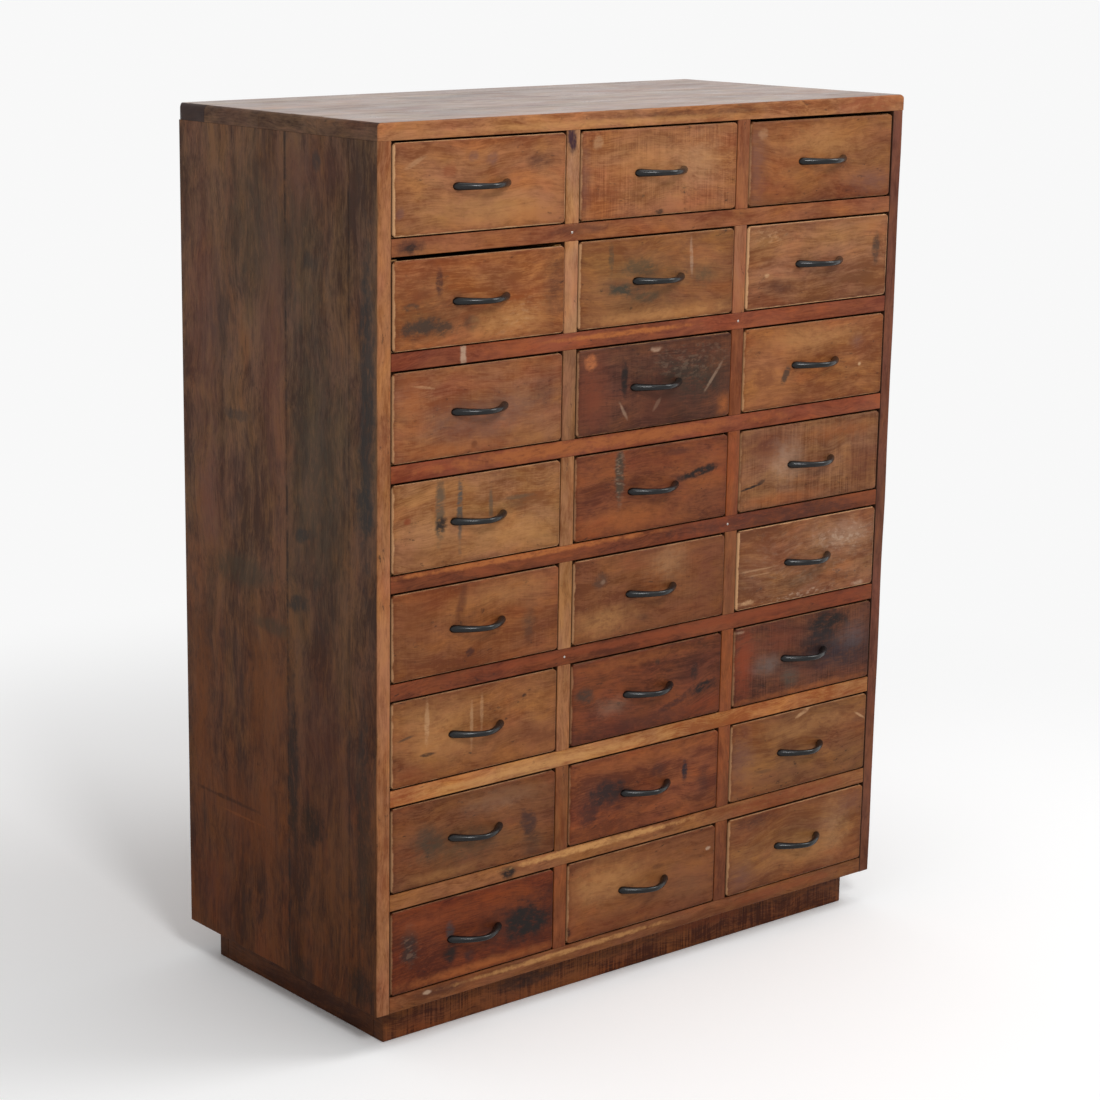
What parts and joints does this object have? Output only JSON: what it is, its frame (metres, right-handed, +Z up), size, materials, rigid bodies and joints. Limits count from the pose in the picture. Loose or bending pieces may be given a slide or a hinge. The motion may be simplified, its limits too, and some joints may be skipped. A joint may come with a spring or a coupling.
{
  "type": "drawer cabinet",
  "caption": "Tall reclaimed-wood storage cabinet with a grid of small sliding drawers, black iron bow handles and a set-back plinth.",
  "frame": {"origin": "on the floor, under the middle of the whole piece with its handles", "axes": "+X to the right along the front, +Y to the back, +Z up; the drawer fronts face -Y"},
  "size_m": [1, 0.5075, 1.3],
  "materials": {
    "side_wood": "dark waxed, worn",
    "top_wood": "waxed, with a soft sheen",
    "frame_wood": "waxed, worn",
    "plinth_wood": "rough sawn, waxed",
    "inner_wood": "planed, unfinished",
    "back_wood": "planed, unfinished",
    "drawer_wood": "waxed, worn",
    "black_iron": "black, waxed"
  },
  "bodies": {
    "carcass": {"left_side_panel": "side_wood", "right_side_panel": "side_wood", "top_panel": "top_wood", "bottom_panel": "frame_wood", "back_panel": "back_wood", "plinth": "plinth_wood", "front_rails": "frame_wood", "back_rails": "inner_wood", "divider_posts": "frame_wood", "drawer_runners": "inner_wood", "drawer_guides": "inner_wood", "drawer_stops": "inner_wood"},
    "drawer_r1_c1": {"drawer_r1_c1": "drawer_wood", "handle_r1_c1": "black_iron"},
    "drawer_r1_c2": {"drawer_r1_c2": "drawer_wood", "handle_r1_c2": "black_iron"},
    "drawer_r1_c3": {"drawer_r1_c3": "drawer_wood", "handle_r1_c3": "black_iron"},
    "drawer_r2_c1": {"drawer_r2_c1": "drawer_wood", "handle_r2_c1": "black_iron"},
    "drawer_r2_c2": {"drawer_r2_c2": "drawer_wood", "handle_r2_c2": "black_iron"},
    "drawer_r2_c3": {"drawer_r2_c3": "drawer_wood", "handle_r2_c3": "black_iron"},
    "drawer_r3_c1": {"drawer_r3_c1": "drawer_wood", "handle_r3_c1": "black_iron"},
    "drawer_r3_c2": {"drawer_r3_c2": "drawer_wood", "handle_r3_c2": "black_iron"},
    "drawer_r3_c3": {"drawer_r3_c3": "drawer_wood", "handle_r3_c3": "black_iron"},
    "drawer_r4_c1": {"drawer_r4_c1": "drawer_wood", "handle_r4_c1": "black_iron"},
    "drawer_r4_c2": {"drawer_r4_c2": "drawer_wood", "handle_r4_c2": "black_iron"},
    "drawer_r4_c3": {"drawer_r4_c3": "drawer_wood", "handle_r4_c3": "black_iron"},
    "drawer_r5_c1": {"drawer_r5_c1": "drawer_wood", "handle_r5_c1": "black_iron"},
    "drawer_r5_c2": {"drawer_r5_c2": "drawer_wood", "handle_r5_c2": "black_iron"},
    "drawer_r5_c3": {"drawer_r5_c3": "drawer_wood", "handle_r5_c3": "black_iron"},
    "drawer_r6_c1": {"drawer_r6_c1": "drawer_wood", "handle_r6_c1": "black_iron"},
    "drawer_r6_c2": {"drawer_r6_c2": "drawer_wood", "handle_r6_c2": "black_iron"},
    "drawer_r6_c3": {"drawer_r6_c3": "drawer_wood", "handle_r6_c3": "black_iron"},
    "drawer_r7_c1": {"drawer_r7_c1": "drawer_wood", "handle_r7_c1": "black_iron"},
    "drawer_r7_c2": {"drawer_r7_c2": "drawer_wood", "handle_r7_c2": "black_iron"},
    "drawer_r7_c3": {"drawer_r7_c3": "drawer_wood", "handle_r7_c3": "black_iron"},
    "drawer_r8_c1": {"drawer_r8_c1": "drawer_wood", "handle_r8_c1": "black_iron"},
    "drawer_r8_c2": {"drawer_r8_c2": "drawer_wood", "handle_r8_c2": "black_iron"},
    "drawer_r8_c3": {"drawer_r8_c3": "drawer_wood", "handle_r8_c3": "black_iron"}
  },
  "joints": [
    {"name": "slide_r1_c1", "type": "slide", "parent": "carcass", "child": "drawer_r1_c1", "axis": [0, -1, 0], "range_m": [0, 0.33]},
    {"name": "slide_r1_c2", "type": "slide", "parent": "carcass", "child": "drawer_r1_c2", "axis": [0, -1, 0], "range_m": [0, 0.33]},
    {"name": "slide_r1_c3", "type": "slide", "parent": "carcass", "child": "drawer_r1_c3", "axis": [0, -1, 0], "range_m": [0, 0.33]},
    {"name": "slide_r2_c1", "type": "slide", "parent": "carcass", "child": "drawer_r2_c1", "axis": [0, -1, 0], "range_m": [0, 0.33]},
    {"name": "slide_r2_c2", "type": "slide", "parent": "carcass", "child": "drawer_r2_c2", "axis": [0, -1, 0], "range_m": [0, 0.33]},
    {"name": "slide_r2_c3", "type": "slide", "parent": "carcass", "child": "drawer_r2_c3", "axis": [0, -1, 0], "range_m": [0, 0.33]},
    {"name": "slide_r3_c1", "type": "slide", "parent": "carcass", "child": "drawer_r3_c1", "axis": [0, -1, 0], "range_m": [0, 0.33]},
    {"name": "slide_r3_c2", "type": "slide", "parent": "carcass", "child": "drawer_r3_c2", "axis": [0, -1, 0], "range_m": [0, 0.33]},
    {"name": "slide_r3_c3", "type": "slide", "parent": "carcass", "child": "drawer_r3_c3", "axis": [0, -1, 0], "range_m": [0, 0.33]},
    {"name": "slide_r4_c1", "type": "slide", "parent": "carcass", "child": "drawer_r4_c1", "axis": [0, -1, 0], "range_m": [0, 0.33]},
    {"name": "slide_r4_c2", "type": "slide", "parent": "carcass", "child": "drawer_r4_c2", "axis": [0, -1, 0], "range_m": [0, 0.33]},
    {"name": "slide_r4_c3", "type": "slide", "parent": "carcass", "child": "drawer_r4_c3", "axis": [0, -1, 0], "range_m": [0, 0.33]},
    {"name": "slide_r5_c1", "type": "slide", "parent": "carcass", "child": "drawer_r5_c1", "axis": [0, -1, 0], "range_m": [0, 0.33]},
    {"name": "slide_r5_c2", "type": "slide", "parent": "carcass", "child": "drawer_r5_c2", "axis": [0, -1, 0], "range_m": [0, 0.33]},
    {"name": "slide_r5_c3", "type": "slide", "parent": "carcass", "child": "drawer_r5_c3", "axis": [0, -1, 0], "range_m": [0, 0.33]},
    {"name": "slide_r6_c1", "type": "slide", "parent": "carcass", "child": "drawer_r6_c1", "axis": [0, -1, 0], "range_m": [0, 0.33]},
    {"name": "slide_r6_c2", "type": "slide", "parent": "carcass", "child": "drawer_r6_c2", "axis": [0, -1, 0], "range_m": [0, 0.33]},
    {"name": "slide_r6_c3", "type": "slide", "parent": "carcass", "child": "drawer_r6_c3", "axis": [0, -1, 0], "range_m": [0, 0.33]},
    {"name": "slide_r7_c1", "type": "slide", "parent": "carcass", "child": "drawer_r7_c1", "axis": [0, -1, 0], "range_m": [0, 0.33]},
    {"name": "slide_r7_c2", "type": "slide", "parent": "carcass", "child": "drawer_r7_c2", "axis": [0, -1, 0], "range_m": [0, 0.33]},
    {"name": "slide_r7_c3", "type": "slide", "parent": "carcass", "child": "drawer_r7_c3", "axis": [0, -1, 0], "range_m": [0, 0.33]},
    {"name": "slide_r8_c1", "type": "slide", "parent": "carcass", "child": "drawer_r8_c1", "axis": [0, -1, 0], "range_m": [0, 0.33]},
    {"name": "slide_r8_c2", "type": "slide", "parent": "carcass", "child": "drawer_r8_c2", "axis": [0, -1, 0], "range_m": [0, 0.33]},
    {"name": "slide_r8_c3", "type": "slide", "parent": "carcass", "child": "drawer_r8_c3", "axis": [0, -1, 0], "range_m": [0, 0.33]}
  ]
}
